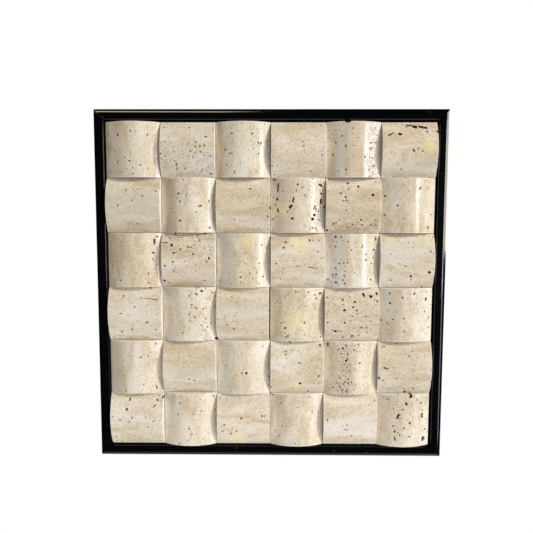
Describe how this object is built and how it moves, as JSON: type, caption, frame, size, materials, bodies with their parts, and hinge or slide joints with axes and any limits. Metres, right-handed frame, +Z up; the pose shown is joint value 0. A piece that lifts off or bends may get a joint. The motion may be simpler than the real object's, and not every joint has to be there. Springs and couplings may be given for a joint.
{
  "type": "mosaic panel",
  "caption": "Square wall panel of arched travertine tiles laid in basketweave on a board, in a narrow black gloss frame with mitred corners.",
  "frame": {"origin": "centre of the panel's flat back, where it meets the wall", "axes": "+Z up, the tiled front faces -Y, +Y points into the wall, +X is to the right seen from the front"},
  "size_m": [0.329, 0.021, 0.3296],
  "materials": {
    "tile_stone": "honed cream travertine, veined and pitted, satin",
    "frame": "black gloss lacquer",
    "backing_board": "fibreboard stained black, matt"
  },
  "bodies": {
    "root": {"backing_board": "backing_board", "frame_left": "frame", "frame_top": "frame", "frame_right": "frame", "frame_bottom": "frame", "tile_row1_column1": "tile_stone", "tile_row1_column2": "tile_stone", "tile_row1_column3": "tile_stone", "tile_row1_column4": "tile_stone", "tile_row1_column5": "tile_stone", "tile_row1_column6": "tile_stone", "tile_row2_column1": "tile_stone", "tile_row2_column2": "tile_stone", "tile_row2_column3": "tile_stone", "tile_row2_column4": "tile_stone", "tile_row2_column5": "tile_stone", "tile_row2_column6": "tile_stone", "tile_row3_column1": "tile_stone", "tile_row3_column2": "tile_stone", "tile_row3_column3": "tile_stone", "tile_row3_column4": "tile_stone", "tile_row3_column5": "tile_stone", "tile_row3_column6": "tile_stone", "tile_row4_column1": "tile_stone", "tile_row4_column2": "tile_stone", "tile_row4_column3": "tile_stone", "tile_row4_column4": "tile_stone", "tile_row4_column5": "tile_stone", "tile_row4_column6": "tile_stone", "tile_row5_column1": "tile_stone", "tile_row5_column2": "tile_stone", "tile_row5_column3": "tile_stone", "tile_row5_column4": "tile_stone", "tile_row5_column5": "tile_stone", "tile_row5_column6": "tile_stone", "tile_row6_column1": "tile_stone", "tile_row6_column2": "tile_stone", "tile_row6_column3": "tile_stone", "tile_row6_column4": "tile_stone", "tile_row6_column5": "tile_stone", "tile_row6_column6": "tile_stone"}
  },
  "joints": []
}
